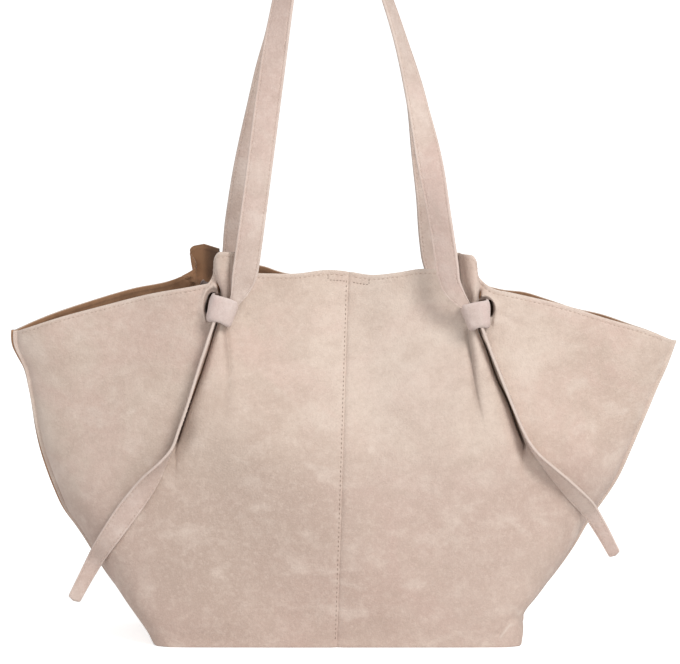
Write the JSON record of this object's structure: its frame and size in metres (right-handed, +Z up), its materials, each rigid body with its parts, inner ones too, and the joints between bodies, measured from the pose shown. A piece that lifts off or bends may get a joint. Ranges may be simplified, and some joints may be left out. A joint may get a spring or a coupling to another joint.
{
  "type": "shopper bag",
  "caption": "Soft suede shopper bag with flared wings, cinched pleats, strap handles with loose tails, a flat base and a magnetic closure.",
  "frame": {"origin": "on the floor under the middle of the bag's bounding box", "axes": "+Z up, the front faces -Y, +X to the right as seen from the front"},
  "size_m": [0.5008, 0.1363, 0.5585],
  "materials": {
    "body_suede": "matte",
    "strap_suede": "matte",
    "inner_leather": "matte",
    "board": "matte",
    "magnet": "satin"
  },
  "bodies": {
    "bag": {"front_left_panel": "body_suede", "front_right_panel": "body_suede", "back_left_panel": "body_suede", "back_right_panel": "body_suede", "base_panel": "body_suede", "base_board": "board", "front_centre_seam_tape": "inner_leather", "back_centre_seam_tape": "inner_leather", "left_side_seam_tape": "inner_leather", "right_side_seam_tape": "inner_leather", "front_magnet_tab": "inner_leather", "back_magnet_tab": "inner_leather", "front_magnet": "magnet", "back_magnet": "magnet", "front_left_band": "strap_suede", "front_right_band": "strap_suede", "back_left_band": "strap_suede", "back_right_band": "strap_suede", "front_left_strap_end": "strap_suede", "front_right_strap_end": "strap_suede", "back_left_strap_end": "strap_suede", "back_right_strap_end": "strap_suede"},
    "front_handle": {"front_handle": "strap_suede"},
    "back_handle": {"back_handle": "strap_suede"},
    "front_left_tail": {"front_left_tail": "strap_suede"},
    "front_right_tail": {"front_right_tail": "strap_suede"},
    "back_left_tail": {"back_left_tail": "strap_suede"},
    "back_right_tail": {"back_right_tail": "strap_suede"}
  },
  "joints": [
    {"name": "front_handle_swing", "type": "hinge", "parent": "bag", "child": "front_handle", "pos_m": [0.004, -0.05182, 0.285], "axis": [1, 0, 0], "range_deg": [0, 165]},
    {"name": "back_handle_swing", "type": "hinge", "parent": "bag", "child": "back_handle", "pos_m": [-0.006, 0.05182, 0.285], "axis": [-1, 0, 0], "range_deg": [0, 165]},
    {"name": "front_left_tail_lift", "type": "hinge", "parent": "bag", "child": "front_left_tail", "pos_m": [-0.09708, -0.05182, 0.23902], "axis": [-0.9162, 0, 0.4007], "range_deg": [0, 90]},
    {"name": "front_right_tail_lift", "type": "hinge", "parent": "bag", "child": "front_right_tail", "pos_m": [0.10527, -0.05182, 0.23772], "axis": [-0.893, 0, -0.4501], "range_deg": [0, 90]},
    {"name": "back_left_tail_lift", "type": "hinge", "parent": "bag", "child": "back_left_tail", "pos_m": [-0.10641, 0.05182, 0.2388], "axis": [0.9723, 0, -0.2339], "range_deg": [0, 90]},
    {"name": "back_right_tail_lift", "type": "hinge", "parent": "bag", "child": "back_right_tail", "pos_m": [0.09454, 0.05182, 0.23744], "axis": [0.9637, 0, 0.2672], "range_deg": [0, 90]}
  ]
}
